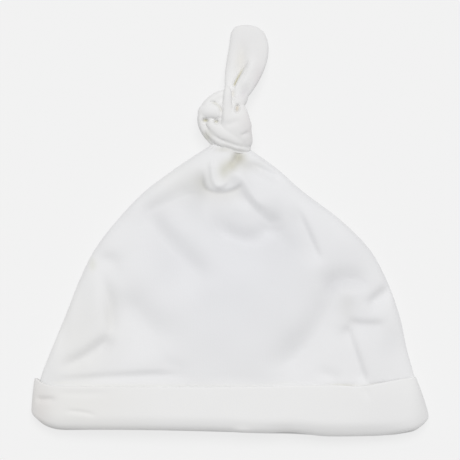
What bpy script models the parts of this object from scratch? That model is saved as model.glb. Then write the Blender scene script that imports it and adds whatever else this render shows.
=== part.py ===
"""Knotted baby hat of cotton jersey, lying on its back.

Metres, +Z up. The hat lies on the plane z = 0 with its head opening towards -Y and its
knot and tail towards +Y. The origin is on that plane, below the middle of the hat.
"""

import math
from collections import namedtuple

import bmesh
import bpy
from mathutils import Vector

MM = 0.001

# Driving sizes, in millimetres.
WALL = 1.2  # jersey, one ply
SEAM_GAP = 0.3  # between pieces that are sewn or tied together
TAIL_GAP = 0.42  # round the tail's skin, as the groove's steep sides bring it closer
SEAM_ALLOWANCE = 3.5  # each panel's edge, turned in along the side seams
ALLOWANCE_LIMIT = 0.35  # of the half width, where the neck is narrow
SEAM_EDGE = 0.5  # rounding where the edge turns in
SEAM_Y = -69.5  # seam of crown and cuff, hidden behind the cuff
CUFF_GAP = 0.65  # at that seam, where the rims of both walls lean a little
NECK_Y = 42.0  # end of the gathered neck, inside the knot
CUFF_OUT = 2.0  # outer skin of the cuff, out from the crown
CUFF_PUFF = 1.4  # more than that, on the front near the rim
CUFF_RIM_Y = -88.2  # lowest line of the cuff
CUFF_RIM_TILT = -1.3  # right end of the rim against its middle
CUFF_CORNER = 5.6  # how far the rim rises at the side folds
CUFF_TOP_Y = -67.0  # free edge of the cuff
CUFF_TOP_RISE = 2.6  # how far that edge rises at the side folds
CORNER_POWER = 18  # a high power keeps the rise close to the side folds
DOME_POWER = 0.8  # under 1 makes the front's section flat on top
BACK_CURL = math.radians(30)  # turn of the side fold until the back lies flat

# The crown's outside at each height: the side folds left and right, the height of the
# front's middle, of the side folds and of the underside.
Station = namedtuple("Station", "y left right top side bottom")
STATIONS = [
    Station(-90.0, -84.2, 83.6, 12.4, 5.6, 2.0),
    Station(-80.0, -84.3, 83.2, 13.2, 5.7, 2.0),
    Station(-66.0, -83.2, 80.8, 15.0, 5.6, 2.0),
    Station(-52.0, -78.1, 77.0, 16.6, 5.2, 0.0),
    Station(-38.0, -72.3, 74.0, 17.8, 5.2, 0.0),
    Station(-22.0, -66.0, 68.3, 18.8, 5.2, 0.0),
    Station(-8.0, -59.0, 60.5, 19.0, 5.4, 0.0),
    Station(5.0, -49.0, 47.5, 18.8, 5.6, 0.0),
    Station(17.0, -37.4, 31.6, 18.2, 6.2, 0.0),
    Station(26.5, -24.8, 20.8, 17.0, 7.0, 0.0),
    Station(31.5, -17.4, 14.0, 15.6, 7.8, 0.6),
    Station(35.5, -11.2, 8.4, 14.3, 8.4, 2.2),
    Station(38.5, -7.2, 5.8, 13.4, 8.6, 3.6),
    Station(42.0, -5.4, 4.8, 12.8, 8.6, 4.4),
]

# Soft folds of the front: a line through three points, its rise (under 0 for a valley)
# and the half width over which it fades.
Fold = namedtuple("Fold", "name start middle end rise width")
FOLDS = [
    Fold("hollow under the knot", (4, 33), (-1, 27), (-4, 21), -2.8, 4.0),
    Fold("lip left of the hollow", (-12, 30), (-9.5, 22.5), (-2, 19), 1.6, 3.6),
    Fold("lip right of the hollow", (-3, 18.5), (4, 25), (13, 10), 1.8, 3.2),
    Fold("shadow under the lip", (-15, 22), (-8, 14), (2, 15), -1.6, 3.6),
    Fold("shadow beside the lip", (2, 16), (8, 11), (15, 3), -1.8, 3.2),
    Fold("bow below the lip", (-8, 5), (4, -3), (16, 0), -1.5, 3.8),
    Fold("long drag line, left", (-38, 11), (-24, -4), (-5, -24), -1.7, 4.2),
    Fold("short drag line, left", (-47, -19), (-35, -31), (-24, -41), -1.4, 5.0),
    Fold("puff at the left side", (-57, -12), (-49, -28), (-52, -47), 1.8, 4.0),
    Fold("crease above the cuff, left", (-72, -56), (-58, -50), (-50, -43), -1.5, 3.0),
    Fold("crease along the cuff, left", (-76, -64), (-50, -60), (-18, -61), -1.3, 3.0),
    Fold("broad drag line, right", (45, -19), (33, -40), (16, -59), -1.9, 6.0),
    Fold("long crease, right, upper", (29, 10), (38, -9), (44, -26), -1.5, 3.2),
    Fold("long crease, right, lower", (46, -30), (54, -47), (61, -63), -1.4, 3.2),
    Fold("side wrinkle, right", (50, -36), (60, -38), (69, -39), -1.3, 3.2),
]
FOLD_STEPS = 8
FOLD_FADE = 0.25  # share of a fold's length over which each end fades
FLAT_EDGE = 0.16  # share of the front's half width that stays free of folds at a side
GATHERS = 9  # small pleats round the neck
GATHER_RISE = 0.45
GATHER_REACH = 12.0  # how far down the crown the pleats fade

# Rope-like strands of the knot, as points with a radius.
Bead = namedtuple("Bead", "x y z radius")
LOOP_STRAND = [
    Bead(1.5, 59.0, 9.0, 3.4),
    Bead(-4.2, 57.2, 10.2, 3.6),
    Bead(-8.6, 53.8, 10.0, 4.4),
    Bead(-10.2, 49.0, 8.8, 4.3),
    Bead(-8.0, 44.4, 7.4, 4.4),
    Bead(-3.4, 41.6, 6.2, 4.6),
]
LOBE_STRAND = [
    Bead(-11.6, 50.2, 11.0, 2.6),
    Bead(-9.0, 51.8, 14.0, 3.1),
    Bead(-5.4, 51.6, 14.6, 3.0),
    Bead(-2.2, 49.4, 12.8, 2.8),
]
WRAP_STRAND = [
    Bead(-10.8, 47.4, 9.8, 2.8),
    Bead(-7.8, 43.9, 12.8, 3.2),
    Bead(-2.4, 40.6, 14.8, 3.4),
    Bead(3.2, 38.6, 14.0, 3.4),
    Bead(6.6, 38.2, 10.6, 3.4),
    Bead(5.8, 40.8, 6.2, 4.2),
    Bead(1.0, 43.6, 4.6, 3.8),
]
FRONT_STRAND = [
    Bead(2.4, 56.4, 9.6, 3.0),
    Bead(3.2, 52.0, 12.8, 3.5),
    Bead(2.8, 48.2, 14.6, 4.7),
    Bead(3.4, 44.2, 14.4, 5.3),
    Bead(5.0, 40.9, 11.4, 4.8),
]
CORE_STRAND = [
    Bead(-4.0, 46.0, 6.8, 5.4),
    Bead(-0.6, 48.8, 7.6, 6.6),
    Bead(1.4, 53.0, 8.2, 5.2),
]
KNOT_STRANDS = (LOOP_STRAND, LOBE_STRAND, WRAP_STRAND, FRONT_STRAND, CORE_STRAND)
STRAND_SIDES = 3  # bevel resolution of a strand
KNOT_VOXEL = 1.45
KNOT_SMOOTHING = 2
NECK_CUTTER_Y = 22.0  # the knot is cut clear of the crown from here to the neck's end
NECK_CUTTER_ROWS = 16

# The tail's sections: the middle, the half width and half thickness, and the groove
# along its upper side.
Section = namedtuple("Section", "y x z half_width half_height groove")
TAIL_SECTIONS = [
    Section(54.8, 1.6, 12.4, 0.0, 0.0, 0.0),
    Section(55.6, 1.6, 12.4, 3.6, 2.6, 0.0),
    Section(59.5, 3.2, 11.4, 5.8, 3.6, 0.9),
    Section(64.5, 4.6, 9.6, 7.4, 3.9, 1.9),
    Section(70.0, 5.6, 7.4, 8.2, 3.8, 2.0),
    Section(75.5, 7.0, 5.4, 8.9, 3.6, 1.3),
    Section(80.5, 7.8, 4.0, 8.9, 3.2, 0.5),
    Section(85.5, 7.8, 3.0, 7.7, 2.7, 0.1),
    Section(88.2, 7.3, 2.6, 5.9, 2.1, 0.0),
    Section(89.6, 7.2, 2.4, 3.2, 1.2, 0.0),
    Section(90.0, 7.2, 2.3, 0.0, 0.0, 0.0),
]
GROOVE_SIDE = -0.15  # where the groove runs, as a share of the half width
GROOVE_WIDTH = 0.22

PANEL_CROWDING = 1.35  # over 1 brings the rows of cells closer towards the neck
PANEL_CELLS = 38
EDGE_CELLS = 2  # of those, on each side, for the turned-in edge
PANEL_ALONG = 27
BACK_ALONG = 18
CUFF_AROUND = 52
CUFF_LEG_STEPS = 3
CUFF_FOLD_STEPS = 5
TAIL_AROUND = 18
TAIL_ALONG = 22

JERSEY_COLOUR = (0.80, 0.80, 0.81, 1.0)
JERSEY_ROUGHNESS = 0.92


def clamp(value, low=0.0, high=1.0):
    return max(low, min(high, value))


def ease(value):
    """Smooth step from 0 to 1."""
    value = clamp(value)
    return value * value * (3 - 2 * value)


def row_at(table, key):
    """The table's row at any value of its first column, on a smooth curve through its rows."""
    last = len(table) - 1
    i = 0
    while i < last - 1 and key > table[i + 1][0]:
        i += 1
    low, high = table[i], table[i + 1]
    before, after = table[max(i - 1, 0)], table[min(i + 2, last)]
    span = high[0] - low[0]
    t = clamp((key - low[0]) / span)
    values = []
    for column in range(len(low)):
        slope_low = (high[column] - before[column]) / (high[0] - before[0]) * span
        slope_high = (after[column] - low[column]) / (after[0] - low[0]) * span
        values.append(
            (2 * t**3 - 3 * t**2 + 1) * low[column]
            + (t**3 - 2 * t**2 + t) * slope_low
            + (3 * t**2 - 2 * t**3) * high[column]
            + (t**3 - t**2) * slope_high
        )
    return type(low)(*values)


def section_point(station, turn):
    """The crown's section at a station: turn 0 to 1 runs over the front from left to
    right, and 1 to 2 runs back under the hat."""
    angle = math.pi * turn
    middle = (station.left + station.right) / 2
    half = (station.right - station.left) / 2
    x = middle - half * math.cos(angle)
    if turn <= 1:
        lift = max(math.sin(angle), 0.0) ** DOME_POWER
        return x, station.side + (station.top - station.side) * lift
    drop = clamp(-math.sin(angle) / math.sin(BACK_CURL))
    return x, station.bottom + (station.side - station.bottom) * (1 - drop) ** 2


def section_normal(station, turn):
    """Outward direction of the section at a turn, in X and Z."""
    step = 0.004
    x0, z0 = section_point(station, (turn - step) % 2)
    x1, z1 = section_point(station, (turn + step) % 2)
    length = math.hypot(x1 - x0, z1 - z0)
    return -(z1 - z0) / length, (x1 - x0) / length


def fold_points(fold):
    """Points of the fold's curve, which passes through its three given points."""
    points = []
    for i in range(FOLD_STEPS + 1):
        t = i / FOLD_STEPS
        weights = ((1 - t) * (1 - 2 * t), 4 * t * (1 - t), t * (2 * t - 1))
        marks = (fold.start, fold.middle, fold.end)
        points.append([sum(w * m[k] for w, m in zip(weights, marks)) for k in (0, 1)])
    return points


FOLD_LINES = [(fold, fold_points(fold)) for fold in FOLDS]


def distance_along(points, x, y):
    """Distance from (x, y) to a line, and how far along the line that is, 0 to 1."""
    best, share = 1e9, 0.0
    for i in range(len(points) - 1):
        (x0, y0), (x1, y1) = points[i], points[i + 1]
        dx, dy = x1 - x0, y1 - y0
        t = clamp(((x - x0) * dx + (y - y0) * dy) / (dx * dx + dy * dy))
        away = math.hypot(x - x0 - t * dx, y - y0 - t * dy)
        if away < best:
            best, share = away, (i + t) / (len(points) - 1)
    return best, share


def fold_height(x, y):
    """Sum of all the folds of the front at a place."""
    height = 0.0
    for fold, points in FOLD_LINES:
        away, share = distance_along(points, x, y)
        fade = ease(share / FOLD_FADE) * ease((1 - share) / FOLD_FADE)
        height += fold.rise * fade * math.exp(-((away / fold.width) ** 2))
    return height


def gather_height(y, turn):
    """Small pleats that run down from the neck."""
    fade = ease(1 - (NECK_Y - y) / GATHER_REACH)
    return GATHER_RISE * fade * math.cos(2 * math.pi * GATHERS * turn)


def panel_y(share):
    """Height of a panel's row, with rows closer together towards the neck."""
    eased = 1 - (1 - share) ** PANEL_CROWDING
    return SEAM_Y + (NECK_Y - SEAM_Y) * eased


def seam_edge(station, across):
    """For the turned-in edge of a panel, its X and its share of the rounding. Between
    the two edges it gives None, and how far across the visible part the place is."""
    cell = across * PANEL_CELLS
    visible = (cell - EDGE_CELLS) / (PANEL_CELLS - 2 * EDGE_CELLS)
    if 0 < visible < 1:
        return None, visible
    half = (station.right - station.left) / 2
    turned_in = min(SEAM_ALLOWANCE, ALLOWANCE_LIMIT * half)
    past_fold = -visible if visible <= 0 else visible - 1
    inward = turned_in * past_fold * (PANEL_CELLS - 2 * EDGE_CELLS) / EDGE_CELLS
    x = station.left + inward if visible <= 0 else station.right - inward
    return x, clamp(1 - inward / SEAM_EDGE)


def seam_lift(share):
    """Rounding that lifts a panel off the side seam's middle plane near its edges."""
    return (SEAM_GAP / 2 + SEAM_EDGE) * (1 - math.sin(math.pi * share)) ** 4


def front_point(across, along):
    """A point of the front panel's outside."""
    y = panel_y(along)
    station = row_at(STATIONS, y)
    edge_x, share = seam_edge(station, across)
    if edge_x is not None:
        return edge_x, y, station.side + SEAM_GAP / 2 + SEAM_EDGE * share
    x, z = section_point(station, share)
    lift = seam_lift(share)
    inside = ease(math.sin(math.pi * share) / (2 * FLAT_EDGE))
    z += lift + (fold_height(x, y) + gather_height(y, share)) * inside
    return x, y, z


def back_point(across, along):
    """A point of the back panel's outside, which lies on the table."""
    y = panel_y(along)
    station = row_at(STATIONS, y)
    edge_x, share = seam_edge(station, across)
    if edge_x is not None:
        return edge_x, y, station.side - SEAM_GAP / 2 - SEAM_EDGE * share
    x, z = section_point(station, 2 - share)
    return x, y, max(z - seam_lift(share), station.bottom, 0.0)


def cuff_edge(turn, middle, rise):
    """Height of one of the cuff's edges, which bends up towards the side folds."""
    share = -math.cos(math.pi * turn)
    return middle + rise * abs(share) ** CORNER_POWER, share


def cuff_profile():
    """The cuff's skin as (part, share): up the inside, round the rim, up the outside."""
    rows = [("inside", i / CUFF_LEG_STEPS) for i in range(CUFF_LEG_STEPS)]
    rows += [("rim", i / CUFF_FOLD_STEPS) for i in range(CUFF_FOLD_STEPS)]
    rows += [("outside", i / CUFF_LEG_STEPS) for i in range(CUFF_LEG_STEPS + 1)]
    return rows


CUFF_ROWS = cuff_profile()


def cuff_point(around, along):
    """A point of the cuff's skin. Around is one turn, and along picks a profile row."""
    turn = 2 * (around % 1.0)
    part, share = CUFF_ROWS[round(along * (len(CUFF_ROWS) - 1))]
    rim, side = cuff_edge(turn, CUFF_RIM_Y, CUFF_CORNER)
    rim += CUFF_RIM_TILT * side
    top, _ = cuff_edge(turn, CUFF_TOP_Y, CUFF_TOP_RISE)
    puff = CUFF_PUFF * ease((1 + 3 * math.sin(math.pi * turn)) / 2)
    radius = (WALL + CUFF_OUT + puff) / 2
    if part == "inside":
        seam = SEAM_Y - CUFF_GAP
        y = seam + (rim + radius - seam) * share
        out = -WALL
    elif part == "rim":
        angle = math.pi * share
        y = rim + radius - radius * math.sin(angle)
        out = radius - WALL - radius * math.cos(angle)
    else:
        y = rim + radius + (top - rim - radius) * share
        out = CUFF_OUT + puff * (1 - share)
    station = row_at(STATIONS, y)
    x, z = section_point(station, turn)
    nx, nz = section_normal(station, turn)
    return x + nx * out, y, max(z + nz * out, 0.0)


def neck_cutter_point(around, along):
    """A point of the solid that clears the crown's top out of the knot."""
    share = clamp((along * NECK_CUTTER_ROWS - 1) / (NECK_CUTTER_ROWS - 2))
    y = NECK_CUTTER_Y + (NECK_Y + SEAM_GAP - NECK_CUTTER_Y) * share
    station = row_at(STATIONS, y)
    if along in (0.0, 1.0):
        return (station.left + station.right) / 2, y, station.side
    turn = 2 * (around % 1.0)
    x, z = section_point(station, turn)
    nx, nz = section_normal(station, turn)
    grow = GATHER_RISE + SEAM_GAP
    return x + nx * grow, y, z + nz * grow


def tail_point(around, along, grow=0.0):
    """A point of the tail's skin, grown by a clearance for its socket."""
    first, last = TAIL_SECTIONS[0].y, TAIL_SECTIONS[-1].y
    eased = (along + (1 - math.cos(math.pi * along)) / 2) / 2
    section = row_at(TAIL_SECTIONS, first + (last - first) * eased)
    angle = 2 * math.pi * around
    side = math.cos(angle)
    half_width = max(section.half_width, 0.0)
    half_height = max(section.half_height, 0.0)
    z = section.z + half_height * math.sin(angle)
    if math.sin(angle) > 0:
        away = (side - GROOVE_SIDE) / GROOVE_WIDTH
        z -= section.groove * math.exp(-(away**2))
    x = section.x + half_width * side
    spread = grow if half_width > 0 else 0.0
    return (
        x + spread * side,
        section.y + (grow if along > 0.5 else -grow),
        z + spread * math.sin(angle),
    )


def set_material(obj):
    """White cotton jersey."""
    material = bpy.data.materials.new(obj.name + "_jersey")
    material.use_nodes = True
    shader = material.node_tree.nodes["Principled BSDF"]
    shader.inputs["Base Color"].default_value = JERSEY_COLOUR
    shader.inputs["Roughness"].default_value = JERSEY_ROUGHNESS
    shader.inputs["Metallic"].default_value = 0.0
    material.diffuse_color = JERSEY_COLOUR
    obj.data.materials.append(material)


def shaped_grid(name, collection, across, along, point, closed=False, flip=False):
    """A grid of cells, each corner placed by point(u, v), in millimetres."""
    bm = bmesh.new()
    bmesh.ops.create_grid(bm, x_segments=across, y_segments=along, size=0.5)
    for vert in bm.verts:
        place = point(clamp(vert.co.x + 0.5), clamp(vert.co.y + 0.5))
        vert.co = Vector(place) * MM
    if closed:
        bmesh.ops.remove_doubles(bm, verts=bm.verts, dist=0.01 * MM)
    if flip:
        bmesh.ops.reverse_faces(bm, faces=bm.faces)
    mesh = bpy.data.meshes.new(name)
    bm.to_mesh(mesh)
    bm.free()
    mesh.shade_smooth()
    obj = bpy.data.objects.new(name, mesh)
    collection.objects.link(obj)
    return obj


def give_wall(obj):
    """Turns a skin that faces out into cloth of one ply."""
    wall = obj.modifiers.new("wall", "SOLIDIFY")
    wall.thickness = WALL * MM
    wall.offset = -1.0
    wall.use_even_offset = False


def strand_mesh(beads):
    """A tube with round ends along beads, as a mesh."""
    curve = bpy.data.curves.new("strand", "CURVE")
    curve.dimensions = "3D"
    curve.bevel_depth = MM
    curve.bevel_resolution = STRAND_SIDES
    curve.resolution_u = 4
    curve.use_fill_caps = True
    spline = curve.splines.new("BEZIER")
    spline.bezier_points.add(len(beads) - 1)
    for point, bead in zip(spline.bezier_points, beads):
        point.co = Vector(bead[:3]) * MM
        point.radius = bead.radius
        point.handle_left_type = point.handle_right_type = "AUTO"
    obj = bpy.data.objects.new("strand", curve)
    bpy.context.scene.collection.objects.link(obj)
    graph = bpy.context.evaluated_depsgraph_get()
    mesh = bpy.data.meshes.new_from_object(obj.evaluated_get(graph))
    bpy.data.objects.remove(obj)
    bpy.data.curves.remove(curve)
    return mesh


def cut(obj, cutter):
    """Cuts a hole in obj with the cutter, which isn't part of the hat."""
    cutter.hide_render = True
    cutter.display_type = "WIRE"
    hole = obj.modifiers.new("socket_" + cutter.name, "BOOLEAN")
    hole.operation = "DIFFERENCE"
    hole.solver = "EXACT"
    hole.object = cutter


def make_knot(parts, cutters):
    """One overhand knot: a strand round the neck and one over it, drawn tight."""
    bm = bmesh.new()
    for beads in KNOT_STRANDS:
        bm.from_mesh(strand_mesh(beads))
    bmesh.ops.remove_doubles(bm, verts=bm.verts, dist=0.01 * MM)
    mesh = bpy.data.meshes.new("knot")
    bm.to_mesh(mesh)
    bm.free()
    knot = bpy.data.objects.new("knot", mesh)
    parts.objects.link(knot)
    joined = knot.modifiers.new("joined", "REMESH")
    joined.mode = "VOXEL"
    joined.voxel_size = KNOT_VOXEL * MM
    soft = knot.modifiers.new("soft", "SMOOTH")
    soft.iterations = KNOT_SMOOTHING
    neck_cutter = shaped_grid(
        "neck_cutter",
        cutters,
        CUFF_AROUND,
        NECK_CUTTER_ROWS,
        neck_cutter_point,
        closed=True,
    )
    cut(knot, neck_cutter)
    tail_cutter = shaped_grid(
        "tail_cutter",
        cutters,
        TAIL_AROUND,
        TAIL_ALONG,
        lambda u, v: tail_point(u, v, grow=TAIL_GAP),
        closed=True,
        flip=True,
    )
    cut(knot, tail_cutter)
    set_material(knot)
    return knot


def main():
    for obj in list(bpy.data.objects):
        bpy.data.objects.remove(obj)
    parts = bpy.data.collections.new("baby_hat")
    cutters = bpy.data.collections.new("cutters")
    bpy.context.scene.collection.children.link(parts)
    bpy.context.scene.collection.children.link(cutters)

    front = shaped_grid("front_panel", parts, PANEL_CELLS, PANEL_ALONG, front_point)
    back = shaped_grid(
        "back_panel", parts, PANEL_CELLS, BACK_ALONG, back_point, flip=True
    )
    cuff = shaped_grid(
        "cuff", parts, CUFF_AROUND, len(CUFF_ROWS) - 1, cuff_point, closed=True
    )
    for piece in (front, back, cuff):
        give_wall(piece)
        set_material(piece)
    make_knot(parts, cutters)
    tail = shaped_grid(
        "tail", parts, TAIL_AROUND, TAIL_ALONG, tail_point, closed=True, flip=True
    )
    set_material(tail)


main()
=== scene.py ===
"""Looks of a knotted baby hat of white cotton jersey, lying flat on its back.

The tables are in millimetres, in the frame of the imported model: X to the right, Y from
the head opening towards the knot, Z up from the table.
"""

from __future__ import annotations

import logging
import math
from dataclasses import dataclass
from enum import Enum
from typing import Sequence

import bpy
import numpy as np
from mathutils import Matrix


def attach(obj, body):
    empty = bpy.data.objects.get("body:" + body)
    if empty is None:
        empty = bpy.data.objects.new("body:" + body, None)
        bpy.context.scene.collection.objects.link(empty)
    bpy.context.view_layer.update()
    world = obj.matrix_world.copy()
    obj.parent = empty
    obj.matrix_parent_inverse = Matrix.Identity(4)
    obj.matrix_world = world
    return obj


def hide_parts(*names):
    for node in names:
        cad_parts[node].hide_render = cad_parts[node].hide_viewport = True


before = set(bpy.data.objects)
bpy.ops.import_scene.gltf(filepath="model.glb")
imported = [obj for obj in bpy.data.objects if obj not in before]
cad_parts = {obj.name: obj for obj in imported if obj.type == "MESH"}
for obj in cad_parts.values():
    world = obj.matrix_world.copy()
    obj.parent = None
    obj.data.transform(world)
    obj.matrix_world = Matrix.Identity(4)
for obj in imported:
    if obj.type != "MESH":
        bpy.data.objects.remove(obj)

MM = 0.001
LOG = logging.getLogger("baby_hat")
BODY = "root"
# point attribute with painted shade, painted light and the cloth's own colour, as factors of its
# colour
SHADING_AND_TONE = "tone"
WHITE = (1.0, 1.0, 1.0, 1.0)

Array = np.ndarray
Pair = tuple[float, float]
Colour = tuple[float, float, float]
Piece = bpy.types.Object
Material = bpy.types.Material
Tree = bpy.types.NodeTree
Node = bpy.types.Node
Socket = bpy.types.NodeSocket
Outputs = bpy.types.NodeOutputs
Inputs = dict[str | int, object]


# Shape helpers


def eased(values: Array) -> Array:
    """Smooth steps from 0 to 1.

    Args:
        values: Any values. Those under 0 give 0, and those over 1 give 1.

    Returns:
        The steps, flat at both ends.
    """
    values = np.clip(values, 0.0, 1.0)
    return values * values * (3 - 2 * values)


def rows_at(table: Array, keys: Array) -> Array:
    """Reads a table at any values of its first column, on smooth curves through its rows.

    Args:
        table: Rows of numbers, with a rising first column.
        keys: Values of the first column, in any shape.

    Returns:
        An array of the keys' shape, with one more axis for the columns.
    """
    keys = np.asarray(keys, float)
    flat = keys.reshape(-1)
    last = len(table) - 1
    index = np.clip(np.searchsorted(table[:, 0], flat, side="right") - 1, 0, last - 1)
    low = table[index]
    high = table[index + 1]
    before = table[np.maximum(index - 1, 0)]
    after = table[np.minimum(index + 2, last)]
    span = (high - low)[:, :1]
    t = np.clip((flat[:, None] - low[:, :1]) / span, 0.0, 1.0)
    slope_low = (high - before) / (high - before)[:, :1] * span
    slope_high = (after - low) / (after - low)[:, :1] * span
    values = (
        (2 * t**3 - 3 * t**2 + 1) * low
        + (t**3 - 2 * t**2 + t) * slope_low
        + (3 * t**2 - 2 * t**3) * high
        + (t**3 - t**2) * slope_high
    )
    return values.reshape(*keys.shape, table.shape[1])


def curve_through(points: Sequence[Sequence[float]], steps: int) -> Array:
    """Places along a smooth curve that passes through the given points.

    Args:
        points: The points, of any dimension.
        steps: Stretches of curve between two neighbouring points.

    Returns:
        One row for each place.
    """
    marks = np.array(points, float)
    keyed = np.column_stack([np.arange(len(marks)), marks])
    keys = np.linspace(0, len(marks) - 1, (len(marks) - 1) * steps + 1)
    return rows_at(keyed, keys)[:, 1:]


def ripples(x: Array, y: Array, length: float, seed: int, waves: int = 9) -> Array:
    """Irregular soft waves, about -1 to 1, with a fixed seed.

    Args:
        x: Places across, in millimetres.
        y: Places along, in millimetres.
        length: Mean wave length in millimetres.
        seed: Chooses the waves.
        waves: How many plane waves are added up.

    Returns:
        The height of the waves at each place.
    """
    dice = np.random.default_rng(seed)
    total = np.zeros_like(x)
    for _ in range(waves):
        heading = dice.uniform(0, math.pi)
        pace = 2 * math.pi / (length * dice.uniform(0.7, 1.5))
        along = x * math.cos(heading) + y * math.sin(heading)
        total += np.sin(pace * along + dice.uniform(0, 2 * math.pi))
    return total / math.sqrt(waves)


@dataclass(frozen=True)
class Crease:
    """One line of a fold, seen from above: a ridge, or a valley where its rise is under 0.

    Left and right are the half widths on either side of its path, looking along it. The
    last half widths are the first ones times taper. Fades are the shares of the path over
    which it comes and goes. Where given, its colour factors are painted shade, which darkens
    and warms the cloth's colour at the bottom of a deep fold. Each short stroke reaches along
    the path by blend times the half width, at least by least_blend times its own length, and
    by spread more for each millimetre away from the path.
    """

    name: str
    rise: float
    left: float
    right: float
    path: tuple[Pair, ...]
    fades: Pair = (0.25, 0.3)
    taper: float = 1.0
    # painted shade at the bottom of the fold, as factors that darken and warm the cloth's colour
    tone: Colour | None = None
    blend: float = 0.7
    least_blend: float = 1.1
    spread: float = 0.35
    steps: int = 6

    def height(self, x: Array, y: Array) -> Array:
        """What this fold adds to the height at each place.

        The fold is the sum of short soft strokes along its path, so that bends and ends
        are as soft as its sides.

        Args:
            x: Places across, in millimetres.
            y: Places along, in millimetres.

        Returns:
            Heights in millimetres, in the shape of x.
        """
        line = curve_through(self.path, self.steps)
        middles = (line[1:] + line[:-1]) / 2
        strokes = line[1:] - line[:-1]
        lengths = np.hypot(strokes[:, 0], strokes[:, 1])
        shares = (np.cumsum(lengths) - lengths / 2) / lengths.sum()
        fades = eased(shares / self.fades[0]) * eased((1 - shares) / self.fades[1])
        total = np.zeros(x.shape)
        for middle, stroke, length, share, fade in zip(
            middles, strokes, lengths, shares, fades
        ):
            grow = 1 + (self.taper - 1) * share
            away = (x - middle[0], y - middle[1])
            along = (away[0] * stroke[0] + away[1] * stroke[1]) / length
            across = (away[1] * stroke[0] - away[0] * stroke[1]) / length
            width = np.where(across > 0, self.left, self.right) * grow
            soft = self.blend * min(self.left, self.right) * grow
            reach = max(soft, self.least_blend * length)
            reach = reach + self.spread * np.abs(across)
            weight = fade * length / (math.sqrt(math.pi) * reach)
            total += weight * np.exp(-((along / reach) ** 2) - (across / width) ** 2)
        return self.rise * total


@dataclass(frozen=True)
class Relief:
    """All the folds of one side of a piece, and the soft waves between them."""

    creases: tuple[Crease, ...]
    wave_height: float = 0.0
    wave_length: float = 20.0
    seed: int = 1

    def height(self, x: Array, y: Array) -> Array:
        """The relief at each place.

        Args:
            x: Places across, in millimetres.
            y: Places along, in millimetres.

        Returns:
            Heights in millimetres, in the shape of x.
        """
        total = self.wave_height * ripples(x, y, self.wave_length, self.seed)
        for crease in self.creases:
            total = total + crease.height(x, y)
        return total


@dataclass(frozen=True)
class ShadingAndToneSpot:
    """A soft spot that scales the cloth's colour: mostly painted shade and light, a few real hues.
    """

    name: str
    x: float
    y: float
    reach_x: float
    reach_y: float
    factors: Colour


def places_of(obj: Piece) -> Array:
    """The places of an object's points.

    Args:
        obj: The object.

    Returns:
        The places in metres, one row each.
    """
    flat = np.empty(len(obj.data.vertices) * 3)
    obj.data.vertices.foreach_get("co", flat)
    return flat.reshape(-1, 3)


def paint(obj: Piece, shading_and_tone_spots: Sequence[ShadingAndToneSpot], relief: Relief) -> None:
    """Stores painted shade and light, and the cloth's own colour, at each point as colour factors.

    Args:
        obj: The piece.
        shading_and_tone_spots: Its soft spots of painted shade and light, and of the cloth's own
            colour.
        relief: Its folds, of which some paint shade at their bottoms.
    """
    x, y, _ = places_of(obj).T / MM
    tone = np.ones((len(x), 4))
    # the soft spots multiply in painted shade, painted light and the cloth's own colour
    for painted_spot in shading_and_tone_spots:
        reach = ((x - painted_spot.x) / painted_spot.reach_x) ** 2 + ((y - painted_spot.y) / painted_spot.reach_y) ** 2
        tone[:, :3] *= 1 + np.exp(-reach)[:, None] * (np.array(painted_spot.factors) - 1)
    # deep folds multiply in their painted shade
    for crease in relief.creases:
        if crease.tone:
            share = np.clip(crease.height(x, y) / crease.rise, 0, 1) ** 3
            tone[:, :3] *= 1 + share[:, None] * (np.array(crease.tone) - 1)
    layer = obj.data.attributes.new(SHADING_AND_TONE, "FLOAT_COLOR", "POINT")
    layer.data.foreach_set("color", tone.reshape(-1))


def grid_faces(rows: int, columns: int, around: bool) -> Array:
    """The four-sided faces of a grid of points.

    Args:
        rows: How many rows of points there are.
        columns: How many points a row has.
        around: Whether each row closes on itself.

    Returns:
        One row of four indices for each face.
    """
    row = np.arange(rows - 1)[:, None] * columns
    column = np.arange(columns if around else columns - 1)[None, :]
    following = (column + 1) % columns
    above = row + columns
    corners = (row + column, row + following, above + following, above + column)
    return np.stack(corners, axis=-1).reshape(-1, 4)


def tube_faces(rows: int, columns: int) -> list[list[int]]:
    """Faces of a tube of rings, with both ends closed by a flat face.

    Args:
        rows: How many rings the tube has.
        columns: How many points a ring has.

    Returns:
        Lists of indices.
    """
    faces = grid_faces(rows, columns, around=True).tolist()
    faces.append(list(range(columns))[::-1])
    faces.append(list(range((rows - 1) * columns, rows * columns)))
    return faces


def mesh_object(name: str, points: Array, faces: Sequence, edges: Sequence = ()) -> Piece:
    """A new object at the origin, with its place in its mesh.

    Args:
        name: Name of the object.
        points: Its points in millimetres, one row each.
        faces: Lists of indices.
        edges: Pairs of indices, for a line without faces.

    Returns:
        The object, shaded smooth.
    """
    mesh = bpy.data.meshes.new(name)
    mesh.from_pydata((points * MM).tolist(), edges, [list(map(int, f)) for f in faces])
    mesh.update()
    mesh.shade_smooth()
    obj = bpy.data.objects.new(name, mesh)
    bpy.context.scene.collection.objects.link(obj)
    return obj


def thicken(obj: Piece, wall: float) -> None:
    """Gives a skin its wall, inwards from where it lies.

    Args:
        obj: The skin.
        wall: Thickness of the cloth in millimetres.
    """
    solid = obj.modifiers.new("wall", "SOLIDIFY")
    solid.thickness = wall * MM
    solid.offset = -1.0


def settle(obj: Piece) -> Piece:
    """Applies an object's modifiers, so that it is a plain mesh.

    Args:
        obj: The object.

    Returns:
        The same object.
    """
    graph = bpy.context.evaluated_depsgraph_get()
    mesh = bpy.data.meshes.new_from_object(obj.evaluated_get(graph))
    obj.modifiers.clear()
    obj.data = mesh
    mesh.name = obj.name
    return obj


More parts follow.
